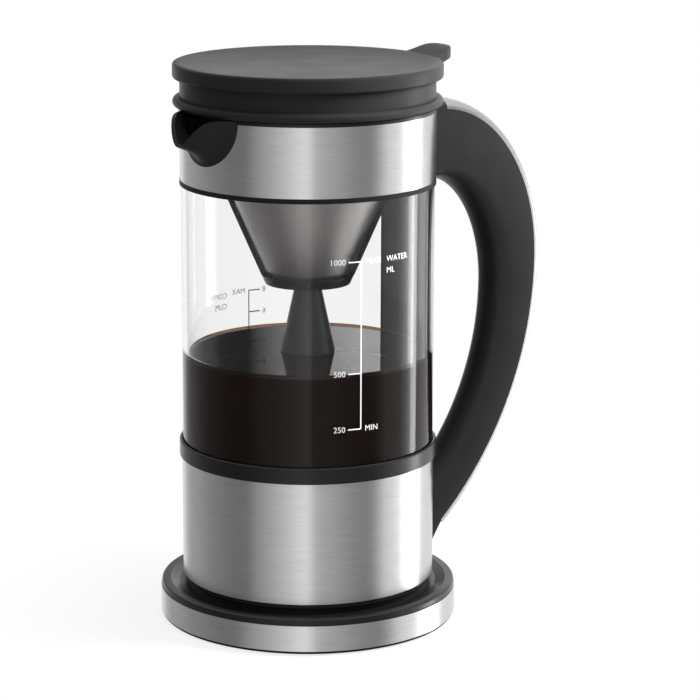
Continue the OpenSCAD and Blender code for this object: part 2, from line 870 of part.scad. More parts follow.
module handle_grip() {
    color(black) difference() {
        skin([for (station = grip_stations) grip_section(station)]);
        handle_clear();
        for (z = concat(z_screws, [z_neck_screw]))
            rod_x(handle_screw_r + fit_gap, inside_r - 2, inside_r + handle_screw_l, z);
    }
}

// A cross-section of the trim over an edge
function trim_section(edge, n) = concat(
    [for (i = [0:2 * crown_steps]) back_point(edge, n, handle_w / 2 - trim_edge, trim_t, trim_crown, i)],
    [for (i = [2 * crown_steps:-1:0]) back_point(edge, n, handle_w / 2, fit_gap, trim_crown, i)]
);

module handle_trim() {
    color(steel) skin(concat(
        [for (i = [0:upper_steps])
            let (a = upper_angle(i)) trim_section(upper_edge(a), upper_normal(a))],
        [for (i = [1:lower_steps])
            let (t = i / lower_steps - (i == lower_steps ? trim_end_gap : 0))
            trim_section(lower_edge(t), lower_normal(t))]
    ));
}

module handle_screws() {
    color(steel) {
        for (z = z_screws) {
            rod_x(handle_screw_head_r, sleeve_in_r - 0.6 - handle_screw_head_h, sleeve_in_r - 0.6, z);
            rod_x(handle_screw_r, sleeve_in_r - 1, inside_r + handle_screw_l - 0.5, z);
        }
        rod_x(handle_screw_head_r, neck_low_r, neck_low_r + handle_screw_head_h, z_neck_screw);
        rod_x(handle_screw_r, neck_low_r + 1, inside_r + handle_screw_l - 0.5, z_neck_screw);
    }
}

// Brewing unit

module brew_stem() {
    color(steel) difference() {
        turned([
            [stem_foot_r - stem_wall, z_floor], [stem_foot_r, z_floor],
            [stem_neck_r, z_basket - shoulder_h], [shoulder_r, z_basket - shoulder_h],
            [shoulder_r, z_basket], [riser_r, z_basket], [riser_r, z_riser],
            [riser_r - stem_wall, z_riser], [riser_r - stem_wall, z_basket],
            [stem_neck_r - stem_wall, z_basket - shoulder_h]
        ]);
        around(6) translate([stem_foot_r - 6, -inlet_w / 2, z_floor - 1]) cube([12, inlet_w, inlet_h + 1]);
    }
}

module valve_seat() {
    z_seat = z_floor + seat_up;
    seat_r = flare_r(z_seat + seat_t) - stem_wall - fit_gap;
    cage_r = valve_r + run_gap;
    z_cage = z_seat + seat_t + valve_t + valve_lift;
    color(steel) {
        ring(seat_r, seat_hole_r, z_seat, seat_t);
        around(3) translate([cage_r, -cage_w / 2, z_seat]) cube([cage_t, cage_w, z_cage + cage_t - z_seat]);
        around(3) translate([cage_r - cage_hook, -cage_w / 2, z_cage])
            cube([cage_hook + cage_t, cage_w, cage_t]);
    }
}

module valve_disc() {
    color([0.60, 0.61, 0.62]) rod(valve_r, z_floor + seat_up + seat_t, valve_t);
}

// The cone inside the ribs, grown by a distance
module basket_cone(grow) {
    turned([
        [0, z_basket - 1], [basket_r(z_basket - 1) - rib_proud + grow, z_basket - 1],
        [basket_r(z_hang + basket_rim_t) - rib_proud + grow, z_hang + basket_rim_t],
        [0, z_hang + basket_rim_t]
    ]);
}

module basket_frame() {
    z_cup = z_basket + basket_cup_h;
    z_brim = z_hang + basket_rim_t;
    hole_r = riser_r + run_gap;
    wall = mesh_t + rib_proud;
    rim_in = basket_top_r - wall - 1;
    color(black) {
        turned([
            [hole_r, z_basket], [basket_r(z_basket), z_basket], [basket_r(z_cup), z_cup],
            [basket_r(z_cup) - rib_proud + fit_gap, z_cup],
            [basket_r(z_basket + basket_floor_t) - rib_proud + fit_gap, z_basket + basket_floor_t],
            [hole_r, z_basket + basket_floor_t]
        ]);
        difference() {
            turned([
                [rim_in, z_hang], [basket_rim_r, z_hang], [basket_rim_r, z_brim], [rim_in, z_brim]
            ]);
            around(pour_slots) translate([basket_rim_r + 0.6, 0, 0])
                rod(pour_slot_r, z_hang - 1, basket_rim_t + 2);
        }
        difference() {
            for (a = rib_angles) rotate(a) rotate([90, 0, 0]) translate([0, 0, -rib_w / 2])
                linear_extrude(height = rib_w) polygon([
                    [basket_r(z_cup) - rib_deep, z_cup - 0.5], [basket_r(z_cup) - rib_set, z_cup - 0.5],
                    [basket_r(z_hang) - rib_set, z_hang + 0.5], [basket_r(z_hang) - rib_deep, z_hang + 0.5]
                ]);
            basket_cone(2 * fit_gap);
        }
    }
}

module basket_mesh() {
    z_low = z_basket + basket_floor_t + 0.2;
    z_high = z_hang;
    shrink = rib_proud + fit_gap;
    color([0.62, 0.62, 0.64]) turned([
        [basket_r(z_low) - shrink - mesh_t, z_low], [basket_r(z_low) - shrink, z_low],
        [basket_r(z_high) - shrink, z_high], [basket_r(z_high) - shrink - mesh_t, z_high]
    ]);
}

module spreader_plate() {
    z_plate = z_hang + basket_rim_t;
    lip_out = basket_top_r - mesh_t - rib_proud - 1 - run_gap;
    color(steel) difference() {
        union() {
            rod(spreader_r, z_plate, spreader_plate_t);
            ring(lip_out, lip_out - 1, z_plate - spreader_lip_h, spreader_lip_h + 0.5);
        }
        rod(riser_r + run_gap, z_plate - 1, spreader_plate_t + 2);
        for (row = spreader_holes) around(row[1])
            translate([row[0], 0, 0]) rod(spreader_hole_r, z_plate - 1, spreader_plate_t + 2);
    }
}

// Lid

module lid_plug() {
    in_r = skirt_r - lid_wall;
    round_r = bead_h / 2;
    color(black) turned(concat(
        [[0, z_skirt - lid_floor_t], [plug_r - plug_wall, z_skirt - lid_floor_t],
         [plug_r - plug_wall, z_plug], [plug_r, z_plug], [plug_r, z_gasket - fit_gap],
         [plug_r - gasket_sink, z_gasket - fit_gap], [plug_r - gasket_sink, z_gasket + gasket_w + fit_gap],
         [plug_r, z_gasket + gasket_w + fit_gap], [plug_r, z_lid]],
        arc([lid_r - round_r, z_lid + round_r], round_r, -90, 90, 12),
        [[skirt_r, z_skirt], [skirt_r, z_disc], [in_r, z_disc], [in_r, z_skirt], [0, z_skirt]]
    ));
}

module lid_gasket() {
    color(seal_grey) ring(mouth_r - run_gap, plug_r - gasket_sink + fit_gap, z_gasket, gasket_w);
}

// A cross-section of the thumb tab at a distance from the axis
function tab_section(x) =
    let (
        run = (x - tab_root_r) / (tab_tip_r - tab_root_r),
        low = z_top - lid_dish - 0.3,
        top = low + (z_top + tab_rise - low) * run * run * (3 - 2 * run),
        bottom = top - tab_t,
        corner = max(0, (x - tab_corner_r) / (tab_tip_r - tab_corner_r)),
        w = (tab_w / 2 + tab_flare * pow(1 - run, 2)) * sqrt(1 - pow(corner, 2.5)),
        e = min(tab_edge, w / 3)
    )
    [[x, w, top - e], [x, w - e, top], [x, e - w, top], [x, -w, top - e],
     [x, -w, bottom + e], [x, e - w, bottom], [x, w - e, bottom], [x, w, bottom + e]];

module lid_cap() {
    spigot_out = skirt_r - lid_wall - fit_gap;
    spigot_h = 3;
    color(black) union() {
        turned(concat(
            [[0, z_disc], [spigot_out - 2, z_disc], [spigot_out - 2, z_disc - spigot_h],
             [spigot_out, z_disc - spigot_h], [spigot_out, z_disc]],
            arc([lid_r - lid_edge, z_disc + lid_edge], lid_edge, -90, 0, 6),
            arc([lid_r - lid_edge, z_top - lid_edge], lid_edge, 0, 90, 6),
            [[lid_dish_r, z_top], [lid_dish_r - 3, z_top - lid_dish], [0, z_top - lid_dish]]
        ));
        skin(concat(
            [for (i = [0:tab_steps]) tab_section(mix(tab_root_r, tab_corner_r, i / tab_steps))],
            [for (i = [1:tab_steps]) tab_section(mix(tab_corner_r, tab_tip_r, sin(86 * i / tab_steps)))]
        ));
    }
}

base_foot_ring();
base_tray();
base_steel_band();
base_deck();
base_connector();
base_contacts();
base_screws();
cord_gland();
jug_bottom_cover();
jug_socket();
socket_contacts();
lower_sleeve();
lower_collar();
heater_plate();
heat_spreader();
heating_element();
thermostat();
control_board();
button_switch();
button_bezel();
start_button();
housing_screws();
lower_glass_seal();
glass_tube();
upper_glass_seal();
upper_collar();
neck_ring();
pour_spout();
handle_grip();
handle_trim();
handle_screws();
brew_stem();
valve_seat();
valve_disc();
basket_frame();
basket_mesh();
spreader_plate();
lid_cap();
lid_plug();
lid_gasket();
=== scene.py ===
import math

import bmesh
import bpy
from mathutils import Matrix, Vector


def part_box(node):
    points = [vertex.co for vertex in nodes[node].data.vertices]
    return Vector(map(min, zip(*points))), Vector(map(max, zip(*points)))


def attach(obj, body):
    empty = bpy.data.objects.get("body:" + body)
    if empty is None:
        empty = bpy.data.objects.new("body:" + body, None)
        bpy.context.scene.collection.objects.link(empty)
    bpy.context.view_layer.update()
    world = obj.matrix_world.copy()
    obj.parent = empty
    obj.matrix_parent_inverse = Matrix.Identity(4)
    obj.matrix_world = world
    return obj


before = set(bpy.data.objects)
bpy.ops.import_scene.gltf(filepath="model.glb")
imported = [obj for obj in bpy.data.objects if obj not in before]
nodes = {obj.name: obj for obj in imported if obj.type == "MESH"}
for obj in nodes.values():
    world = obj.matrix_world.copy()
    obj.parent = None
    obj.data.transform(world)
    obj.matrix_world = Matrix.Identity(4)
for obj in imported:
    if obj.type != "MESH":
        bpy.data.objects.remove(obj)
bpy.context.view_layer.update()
scene = bpy.context.scene
scene.view_settings.view_transform = "Standard"


def top_of(name):
    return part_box(name)[1][2]


# Sizes that the coffee and the print take from the frame, in metres
glass_radii = [math.hypot(vert.co.x, vert.co.y) for vert in nodes["glass_tube"].data.vertices]
GLASS_R = max(glass_radii)
GLASS_IN_R = min(glass_radii)
SHOW_LOW_Z = top_of("lower_collar")
SHOW_HIGH_Z = top_of("glass_tube")
SEAL_TOP_Z = top_of("lower_glass_seal")
PLATE_RIM_Z = top_of("heater_plate")

# Camera at the photograph's angle
LENS = 146.53
SENSOR = 36.0
SHIFT = 0.0602
CAMERA_PLACE = (-0.5887, -1.1554, 0.4261)
CAMERA_TILT = math.radians(76.993)
CAMERA_HEADING = math.radians(-27.0)

camera_data = bpy.data.cameras.new("camera")
camera_data.lens = LENS
camera_data.sensor_width = SENSOR
camera_data.shift_x = SHIFT
camera = bpy.data.objects.new("camera", camera_data)
camera.location = CAMERA_PLACE
camera.rotation_euler = (CAMERA_TILT, 0.0, CAMERA_HEADING)
scene.collection.objects.link(camera)
scene.camera = camera


# Node helpers

class Graph:
    """A material or world node tree with short calls to add and join nodes."""

    def __init__(self, tree):
        self.tree = tree
        tree.nodes.clear()

    def add(self, kind, **settings):
        node = self.tree.nodes.new(kind)
        for key, value in settings.items():
            setattr(node, key, value)
        return node

    def join(self, source, target):
        self.tree.links.new(source, target)

    def feed(self, node, index, value):
        socket = node.inputs[index]
        if isinstance(value, bpy.types.NodeSocket):
            self.join(value, socket)
        else:
            socket.default_value = value

    def math(self, operation, first, second=0.0, clamp=False):
        node = self.add("ShaderNodeMath", operation=operation, use_clamp=clamp)
        self.feed(node, 0, first)
        self.feed(node, 1, second)
        return node.outputs[0]

    def dot(self, vector, direction):
        node = self.add("ShaderNodeVectorMath", operation="DOT_PRODUCT")
        self.feed(node, 0, vector)
        self.feed(node, 1, direction)
        return node.outputs["Value"]

    def spread(self, value, low, high, to_low, to_high):
        node = self.add("ShaderNodeMapRange")
        self.feed(node, 0, value)
        self.feed(node, 1, low)
        self.feed(node, 2, high)
        self.feed(node, 3, to_low)
        self.feed(node, 4, to_high)
        return node.outputs[0]

    def noise(self, vector, scale, detail):
        node = self.add("ShaderNodeTexNoise")
        self.feed(node, "Vector", vector)
        node.inputs["Scale"].default_value = scale
        node.inputs["Detail"].default_value = detail
        return node.outputs[0]

    def blend(self, factor, low, high):
        node = self.add("ShaderNodeMix", data_type="RGBA")
        self.feed(node, 0, factor)
        node.inputs[6].default_value = (*low, 1.0)
        node.inputs[7].default_value = (*high, 1.0)
        return node.outputs[2]

    def bump(self, height, strength, distance):
        node = self.add("ShaderNodeBump")
        node.inputs["Strength"].default_value = strength
        node.inputs["Distance"].default_value = distance
        self.feed(node, "Height", height)
        return node.outputs[0]

    def place(self):
        return self.add("ShaderNodeTexCoord").outputs["Object"]

    def round_place(self, along, across):
        """Coordinates that run round the Z axis, stretched round it and fine up it."""
        split = self.add("ShaderNodeSeparateXYZ")
        self.join(self.place(), split.inputs[0])
        turn = self.math("ARCTAN2", split.outputs[1], split.outputs[0])
        out = self.add("ShaderNodeCombineXYZ")
        self.join(self.math("MULTIPLY", turn, along), out.inputs[0])
        self.join(self.math("MULTIPLY", split.outputs[2], across), out.inputs[2])
        return out.outputs[0]


def surface(name):
    mat = bpy.data.materials.new(name)
    mat.use_nodes = True
    g = Graph(mat.node_tree)
    shader = g.add("ShaderNodeBsdfPrincipled")
    out = g.add("ShaderNodeOutputMaterial")
    g.join(shader.outputs[0], out.inputs["Surface"])
    return mat, g, shader


def shades(tone, darker, lighter):
    low = tuple(c * darker for c in tone)
    high = tuple(min(1.0, c * lighter) for c in tone)
    return low, high


# Materials

# Noise scales are per metre, brushing and weave per radian round the axis and per metre up it
NOISE_LOW = 0.3
NOISE_HIGH = 0.7
ROUGH_VARIES = 0.03
BRUSH_FINE = (5.0, 1500.0)
BRUSH_BROAD = (2.5, 600.0)
FINE_SHARE = 0.6
BRUSH_BUMP = 0.16
FINE_DEPTH = 0.0001
GRAIN_DEPTH = 0.0002
PLASTIC_CLOUD = 60.0
PLASTIC_GRIT = 2200.0
METAL_CLOUD = 90.0
GLASS_WAVE = 14.0
LIQUID_RIPPLE = 40.0
LIQUID_CLOUD = 25.0
WIRES_ROUND = 360.0
WIRES_UP = 9000.0
MESH_CLOUD = 120.0
INK_SPECK = 1500.0


def brushed_steel(name, tone, rough, spread=0.75):
    mat, g, s = surface(name)
    fine = g.noise(g.round_place(*BRUSH_FINE), 1.0, 2.0)
    broad = g.noise(g.round_place(*BRUSH_BROAD), 1.0, 3.0)
    both = g.math("ADD", g.math("MULTIPLY", fine, FINE_SHARE), g.math("MULTIPLY", broad, 1.0 - FINE_SHARE))
    low, high = shades(tone, 0.78, 1.22)
    g.join(g.blend(both, low, high), s.inputs["Base Color"])
    g.join(g.spread(both, NOISE_LOW, NOISE_HIGH, rough - ROUGH_VARIES, rough + ROUGH_VARIES),
           s.inputs["Roughness"])
    g.join(g.bump(both, BRUSH_BUMP, FINE_DEPTH), s.inputs["Normal"])
    s.inputs["Metallic"].default_value = 1.0
    s.inputs["Anisotropic"].default_value = spread
    s.inputs["Anisotropic Rotation"].default_value = 0.25
    tangent = g.add("ShaderNodeTangent", direction_type="RADIAL", axis="Z")
    g.join(tangent.outputs[0], s.inputs["Tangent"])
    return mat


def plastic(name, tone, rough, grain=0.05, shine=0.3):
    mat, g, s = surface(name)
    s.inputs["Specular IOR Level"].default_value = shine
    cloud = g.noise(g.place(), PLASTIC_CLOUD, 3.0)
    grit = g.noise(g.place(), PLASTIC_GRIT, 2.0)
    low, high = shades(tone, 0.85, 1.15)
    g.join(g.blend(cloud, low, high), s.inputs["Base Color"])
    g.join(g.spread(cloud, NOISE_LOW, NOISE_HIGH, rough - ROUGH_VARIES, rough + ROUGH_VARIES),
           s.inputs["Roughness"])
    g.join(g.bump(grit, grain, GRAIN_DEPTH), s.inputs["Normal"])
    return mat


def metal(name, tone, rough, size=900.0, grain=0.08):
    mat, g, s = surface(name)
    cloud = g.noise(g.place(), METAL_CLOUD, 4.0)
    grit = g.noise(g.place(), size, 3.0)
    low, high = shades(tone, 0.86, 1.1)
    g.join(g.blend(cloud, low, high), s.inputs["Base Color"])
    g.join(g.spread(grit, NOISE_LOW, NOISE_HIGH, rough - 0.05, rough + 0.06), s.inputs["Roughness"])
    g.join(g.bump(grit, grain, GRAIN_DEPTH), s.inputs["Normal"])
    s.inputs["Metallic"].default_value = 1.0
    return mat


def clear_glass(name):
    mat, g, s = surface(name)
    wave = g.noise(g.place(), GLASS_WAVE, 1.0)
    g.join(g.spread(wave, 0.2, 0.8, 0.0, 0.012), s.inputs["Roughness"])
    s.inputs["Base Color"].default_value = (0.965, 0.968, 0.968, 1.0)
    s.inputs["IOR"].default_value = 1.30
    s.inputs["Transmission Weight"].default_value = 1.0
    return mat


def liquid(name):
    """The liquid's surface and its clear edge, over a body that takes up the light."""
    mat, g, s = surface(name)
    ripple = g.noise(g.place(), LIQUID_RIPPLE, 1.0)
    g.join(g.bump(ripple, 0.004, GRAIN_DEPTH), s.inputs["Normal"])
    s.inputs["Base Color"].default_value = (0.30, 0.13, 0.07, 1.0)
    s.inputs["Roughness"].default_value = 0.02
    s.inputs["IOR"].default_value = 1.33
    s.inputs["Transmission Weight"].default_value = 0.98
    s.inputs["Specular Tint"].default_value = (1.0, 0.84, 0.78, 1.0)
    absorb = g.add("ShaderNodeVolumeAbsorption")
    absorb.inputs["Color"].default_value = (0.42, 0.14, 0.05, 1.0)
    absorb.inputs["Density"].default_value = 420.0
    out = g.tree.nodes["Material Output"]
    g.join(absorb.outputs[0], out.inputs["Volume"])
    return mat


def liquid_side(name):
    """The liquid as seen through the glass that it touches: dark, with no shine of its own."""
    mat, g, s = surface(name)
    cloud = g.noise(g.place(), LIQUID_CLOUD, 2.0)
    g.join(g.blend(cloud, (0.010, 0.0042, 0.0024), (0.015, 0.0062, 0.0034)), s.inputs["Base Color"])
    s.inputs["Roughness"].default_value = 0.6
    s.inputs["Specular IOR Level"].default_value = 0.0
    return mat


def mesh_metal(name):
    mat, g, s = surface(name)
    split = g.add("ShaderNodeSeparateXYZ")
    g.join(g.place(), split.inputs[0])
    turn = g.math("ARCTAN2", split.outputs[1], split.outputs[0])
    across = g.math("SINE", g.math("MULTIPLY", turn, WIRES_ROUND))
    along = g.math("SINE", g.math("MULTIPLY", split.outputs[2], WIRES_UP))
    weave = g.math("MULTIPLY", across, along)
    g.join(g.spread(weave, -1.0, 1.0, 0.30, 0.40), s.inputs["Roughness"])
    g.join(g.bump(weave, 0.12, FINE_DEPTH), s.inputs["Normal"])
    cloud = g.noise(g.place(), MESH_CLOUD, 3.0)
    g.join(g.blend(cloud, (0.36, 0.345, 0.34), (0.44, 0.42, 0.41)), s.inputs["Base Color"])
    s.inputs["Metallic"].default_value = 1.0
    return mat


def ink(name, tone):
    mat, g, s = surface(name)
    speck = g.noise(g.place(), INK_SPECK, 2.0)
    low, high = shades(tone, 0.94, 1.0)
    g.join(g.blend(speck, low, high), s.inputs["Base Color"])
    g.join(g.spread(speck, NOISE_LOW, NOISE_HIGH, 0.4, 0.5), s.inputs["Roughness"])
    return mat


steel = brushed_steel("steel_brushed", (0.60, 0.595, 0.60), 0.30)
bright_trim = brushed_steel("steel_trim", (0.45, 0.445, 0.445), 0.34, 0.4)
black = plastic("plastic_black", (0.022, 0.022, 0.022), 0.36)
grip_black = plastic("plastic_grip", (0.013, 0.013, 0.013), 0.34, shine=0.12)
deep_black = plastic("plastic_deep", (0.006, 0.006, 0.006), 0.28)
tray_black = plastic("plastic_tray", (0.005, 0.005, 0.005), 0.60, shine=0.1)
lid_black = plastic("plastic_lid", (0.020, 0.020, 0.020), 0.36, 0.08, shine=0.07)
rubber = plastic("rubber_black", (0.008, 0.008, 0.008), 0.55, 0.10, shine=0.15)
stem_grey = plastic("stem_grey", (0.030, 0.031, 0.032), 0.35)
glass = clear_glass("glass_clear")
coffee_look = liquid("coffee")
coffee_side_look = liquid_side("coffee_side")
filter_look = mesh_metal("filter_mesh")
screw_look = metal("steel_screw", (0.55, 0.55, 0.56), 0.30)
plate_look = metal("steel_plate", (0.60, 0.59, 0.58), 0.32)
cast_look = metal("aluminium_cast", (0.62, 0.62, 0.63), 0.48, 700.0, 0.2)
sheath_look = metal("element_sheath", (0.42, 0.40, 0.38), 0.42)
brass_look = metal("brass_contact", (0.78, 0.60, 0.30), 0.28)
board_look = plastic("board_green", (0.030, 0.110, 0.060), 0.40)
ceramic_look = plastic("thermostat_body", (0.60, 0.57, 0.50), 0.50)
switch_look = plastic("switch_body", (0.030, 0.030, 0.034), 0.42)
white_ink = ink("ink_white", (0.86, 0.86, 0.86))
# White print painted grey: painted shade for the back of the print seen through the glass
shaded_white_ink = ink("ink_white_painted_shade", (0.20, 0.20, 0.20))
# Dark for the band on the glass on the handle side
dark_band_look = ink("band_dark", (0.022, 0.022, 0.022))

LOOKS = {
    "base_foot_ring": rubber,
    "base_tray": tray_black,
    "base_steel_band": steel,
    "base_deck": deep_black,
    "base_connector": black,
    "base_contacts": brass_look,
    "base_screws": screw_look,
    "cord_gland": rubber,
    "jug_bottom_cover": deep_black,
    "jug_socket": switch_look,
    "socket_contacts": brass_look,
    "lower_sleeve": steel,
    "lower_collar": deep_black,
    "heater_plate": plate_look,
    "heat_spreader": cast_look,
    "heating_element": sheath_look,
    "thermostat": ceramic_look,
    "control_board": board_look,
    "button_switch": switch_look,
    "button_bezel": black,
    "housing_screws": screw_look,
    "lower_glass_seal": rubber,
    "glass_tube": glass,
    "upper_glass_seal": rubber,
    "upper_collar": steel,
    "neck_ring": deep_black,
    "pour_spout": lid_black,
    "handle_grip": grip_black,
    "handle_trim": bright_trim,
    "handle_screws": screw_look,
    "start_button": rubber,
    "brew_stem": stem_grey,
    "valve_seat": plate_look,
    "valve_disc": plate_look,
    "basket_frame": deep_black,
    "basket_mesh": filter_look,
    "spreader_plate": plate_look,
    "lid_cap": lid_black,
    "lid_plug": lid_black,
    "lid_gasket": rubber,
}

for name, node in nodes.items():
    look = LOOKS[name]
    if not node.data.materials:
        node.data.materials.append(look)
    for index in range(len(node.data.materials)):
        node.data.materials[index] = look

# Faceted pieces are shaded smooth, except along their real edges
FACETED = ("handle_grip", "handle_trim", "pour_spout", "lid_cap")
WELD_REACH = 0.00001
EDGE_ANGLE = math.radians(32.0)

for name in FACETED:
    node = nodes[name]
    for attribute in ("custom_normal", "sharp_edge"):
        found = node.data.attributes.get(attribute)
        if found:
            node.data.attributes.remove(found)
    node.data.polygons.foreach_set("use_smooth", [True] * len(node.data.polygons))
    weld = node.modifiers.new("weld", "WELD")
    weld.merge_threshold = WELD_REACH
    split = node.modifiers.new("split", "EDGE_SPLIT")
    split.split_angle = EDGE_ANGLE


# Pieces that only the scene has: the coffee, the print and a dark band on the glass

ROUND_STEPS = 128
TURNED_EDGE = math.radians(40.0)


def new_piece(name, mesh, look, body):
    mesh.materials.append(look)
    piece = bpy.data.objects.new(name, mesh)
    scene.collection.objects.link(piece)
    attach(piece, body)


def turned_mesh(name, profile):
    """A closed solid of revolution from an (r, z) profile that ends on the axis."""
    bm = bmesh.new()
    rings = []
    for r, z in profile:
        if r == 0.0:
            rings.append([bm.verts.new((0.0, 0.0, z))])
        else:
            ring = []
            for k in range(ROUND_STEPS):
                turn = 2.0 * math.pi * k / ROUND_STEPS
                ring.append(bm.verts.new((r * math.cos(turn), r * math.sin(turn), z)))
            rings.append(ring)
    for lower, upper in zip(rings, rings[1:]):
        for k in range(ROUND_STEPS):
            n = (k + 1) % ROUND_STEPS
            if len(lower) == 1:
                bm.faces.new((lower[0], upper[n], upper[k]))
            elif len(upper) == 1:
                bm.faces.new((lower[k], lower[n], upper[0]))
            else:
                bm.faces.new((lower[k], lower[n], upper[n], upper[k]))
    bmesh.ops.recalc_face_normals(bm, faces=bm.faces)
    mesh = bpy.data.meshes.new(name)
    bm.to_mesh(mesh)
    bm.free()
    mesh.polygons.foreach_set("use_smooth", [True] * len(mesh.polygons))
    mesh.set_sharp_from_angle(angle=TURNED_EDGE)
    return mesh


# The coffee wets the glass: it reaches into the wall a little, and its edge climbs it
COFFEE_Z = 0.1268
COFFEE_FLOOR_Z = PLATE_RIM_Z - 0.0028
WET = 0.0001
CLEAR_EDGE = 0.0010
# It keeps off the seal under the glass
SEAL_STEP = 0.0016
STEP_Z = SEAL_TOP_Z + 0.0007
STEP_SLOPE = 0.0010
# The climbing edge as (distance from the wall, height over the surface)
MENISCUS = [(0.0, 0.0009), (0.0006, 0.0004), (0.0014, 0.0001), (0.0026, 0.0), (0.0040, 0.0)]

coffee_r = GLASS_IN_R + WET
coffee_profile = [
    (0.0, COFFEE_FLOOR_Z),
    (coffee_r - SEAL_STEP, COFFEE_FLOOR_Z),
    (coffee_r - SEAL_STEP, STEP_Z),
    (coffee_r, STEP_Z + STEP_SLOPE),
    (coffee_r, COFFEE_Z - CLEAR_EDGE),
    *[(coffee_r - inset, COFFEE_Z + rise) for inset, rise in MENISCUS],
    (0.0, COFFEE_Z),
]
coffee_mesh = turned_mesh("coffee", coffee_profile)
new_piece("coffee", coffee_mesh, coffee_look, "jug")
coffee_mesh.materials.append(coffee_side_look)
for face in coffee_mesh.polygons:
    if face.center.z < COFFEE_Z - CLEAR_EDGE:
        face.material_index = 1


# Print and a dark band on the outside of the glass
INK_GAP = 0.00006
PRINT_R = GLASS_R + INK_GAP
LINE = 0.00055
TICK = 0.0062
LETTER = 0.0038
LETTER_THIN = 0.00002
LETTER_CURVES = 3
NUMBER_GAP = 0.0012
WORD_GAP = 0.0020
ROW_STEP = 0.0052
TICK_STEPS = 4
FRONT_TURN = math.radians(-93.0)
BACK_TURN = math.radians(93.0)
BAND_HALF = math.radians(25.0) * PRINT_R
BAND_STEPS = 24

# Marks of the scales as (height, number, word)
WATER_MARKS = [(0.1025, "250", "MIN"), (0.1282, "500", ""), (0.1792, "1000", "MAX")]
CUP_MARKS = [(0.1135, "2", "MIN"), (0.1235, "4", ""), (0.1341, "6", ""), (0.1447, "8", "MAX")]


def wrapped(name, flat, turn, z, look):
    """Lays flat (x, y) faces on the outside of the glass, x running round it."""
    bm = bmesh.new()
    bm.from_mesh(flat)
    for vert in bm.verts:
        at = turn + vert.co.x / PRINT_R
        vert.co = Vector((PRINT_R * math.cos(at), PRINT_R * math.sin(at), z + vert.co.y))
    mesh = bpy.data.meshes.new(name)
    bm.to_mesh(mesh)
    bm.free()
    new_piece(name, mesh, look, "jug")


def flat_words(text, align):
    curve = bpy.data.curves.new("words", "FONT")
    curve.body = text
    curve.size = LETTER
    curve.align_x = align
    curve.align_y = "CENTER"
    curve.resolution_u = LETTER_CURVES
    curve.offset = -LETTER_THIN
    holder = bpy.data.objects.new("words", curve)
    scene.collection.objects.link(holder)
    bpy.context.view_layer.update()
    graph = bpy.context.evaluated_depsgraph_get()
    mesh = bpy.data.meshes.new_from_object(holder.evaluated_get(graph))
    bpy.data.objects.remove(holder)
    bpy.data.curves.remove(curve)
    return mesh


def flat_bar(left, right, low, high, steps=1):
    bm = bmesh.new()
    rows = []
    for k in range(steps + 1):
        x = left + (right - left) * k / steps
        rows.append((bm.verts.new((x, low, 0.0)), bm.verts.new((x, high, 0.0))))
    for (a, b), (c, d) in zip(rows, rows[1:]):
        bm.faces.new((a, c, d, b))
    mesh = bpy.data.meshes.new("bar")
    bm.to_mesh(mesh)
    bm.free()
    return mesh


def printed_scale(label, turn, marks, side_words, side_z, side_x, look):
    """A line with a tick, a number and perhaps a word at each mark, and words beside it."""
    low = min(z for z, number, word in marks)
    high = max(z for z, number, word in marks)
    wrapped(label + "_line", flat_bar(-LINE / 2, LINE / 2, low - high, 0.0), turn, high, look)
    number_turn = turn - (TICK + NUMBER_GAP) / PRINT_R
    word_turn = turn + WORD_GAP / PRINT_R
    side_turn = turn + side_x / PRINT_R
    for index, (z, number, word) in enumerate(marks):
        mark = label + "_mark_" + str(index + 1)
        wrapped(mark, flat_bar(-TICK, 0.0, -LINE / 2, LINE / 2, TICK_STEPS), turn, z, look)
        wrapped(mark + "_number", flat_words(number, "RIGHT"), number_turn, z, look)
        if word:
            wrapped(mark + "_word", flat_words(word, "LEFT"), word_turn, z, look)
    for index, word in enumerate(side_words):
        row = label + "_side_" + str(index + 1)
        wrapped(row, flat_words(word, "LEFT"), side_turn, side_z - ROW_STEP * index, look)


printed_scale(
    "water_scale", FRONT_TURN, WATER_MARKS,
    ["WATER", "ML"], side_z=0.1792, side_x=0.0131, look=white_ink,
)
# The cup scale is white print; its grey tone is painted shade
printed_scale(
    "cup_scale", BACK_TURN, CUP_MARKS,
    ["COFFEE", "CUPS"], side_z=0.1437, side_x=0.0135, look=shaded_white_ink,
)

# Dark band on the outside of the glass on the handle side, from the lower collar to the top of the glass
wrapped(
    "handle_side_band",
    flat_bar(-BAND_HALF, BAND_HALF, 0.0, SHOW_HIGH_Z - SHOW_LOW_Z, BAND_STEPS),
    0.0, SHOW_LOW_Z, dark_band_look,
)


# Floor, studio world and lamp

FLOOR_R = 0.16
FADE_R = 0.085
FLOOR_TONE = 0.8
FLOOR_WHITE = 0.8
FLOOR_STEPS = 96


